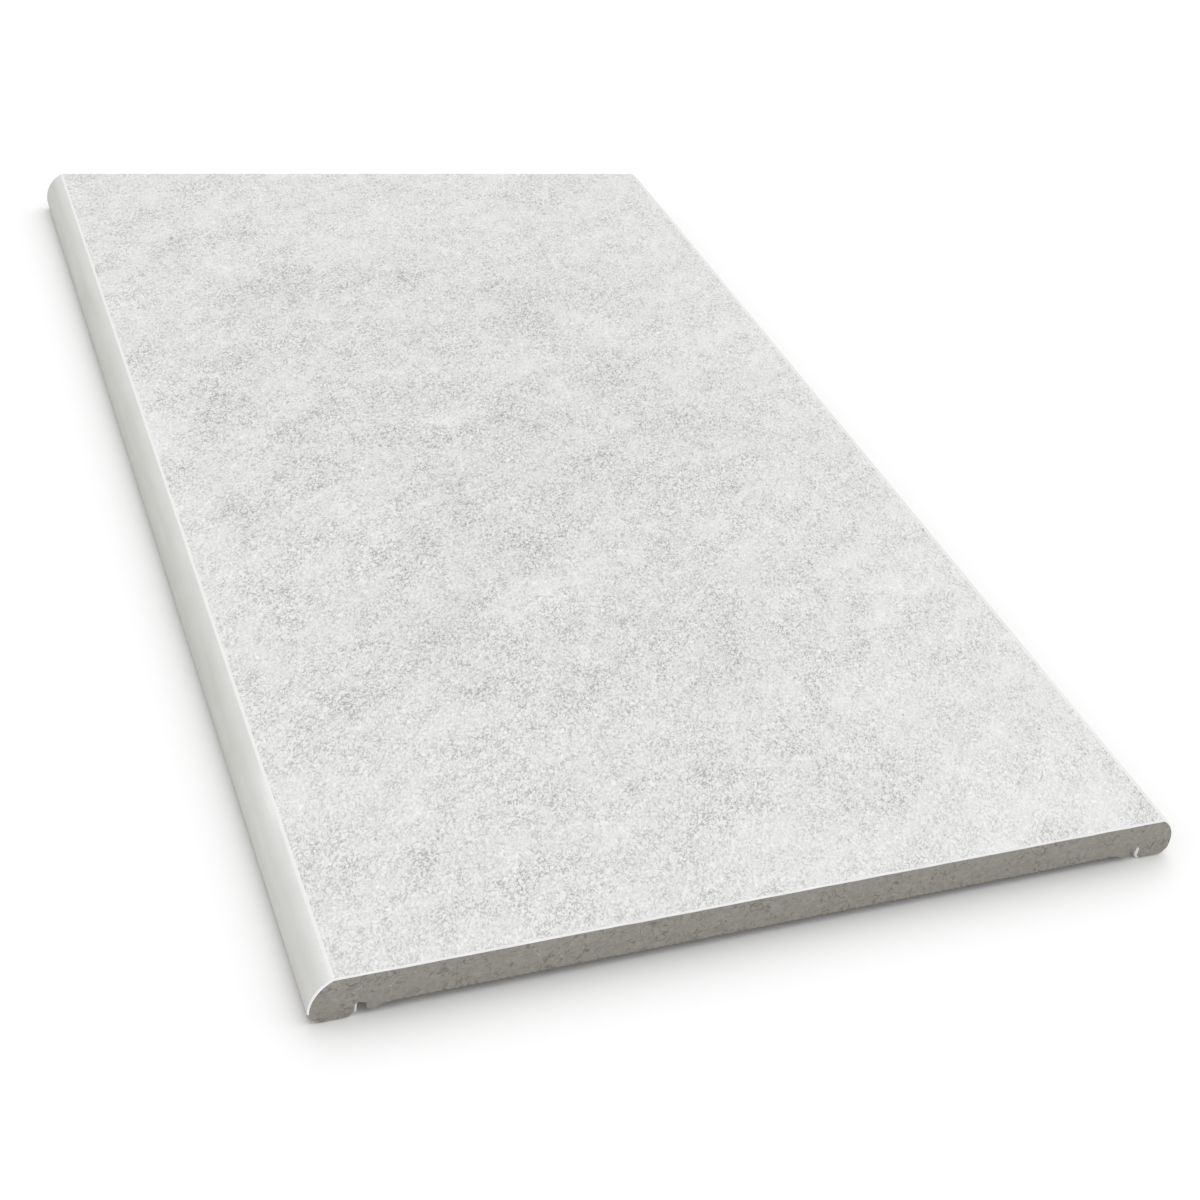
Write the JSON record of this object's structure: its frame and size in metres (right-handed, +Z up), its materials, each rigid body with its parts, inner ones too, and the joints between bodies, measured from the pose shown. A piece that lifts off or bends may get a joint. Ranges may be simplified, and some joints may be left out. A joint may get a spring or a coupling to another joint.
{
  "type": "porcelain coping stone",
  "caption": "Flat light grey porcelain wall coping with a rounded nose and an underside drip groove along each long edge, and a recessed ribbed back that beds in mortar.",
  "frame": {"origin": "below the middle of the slab, on the plane of the two lips that it rests on", "axes": "+X across the wall, +Y along the wall and the slab's length, +Z up out of the walked-on top face"},
  "size_m": [0.35, 0.6, 0.02],
  "materials": {
    "porcelain": "matt, stone-effect top face with satin noses; sawn ends and back are bare grey-brown body"
  },
  "bodies": {
    "root": {"coping_stone": "porcelain"}
  },
  "joints": []
}
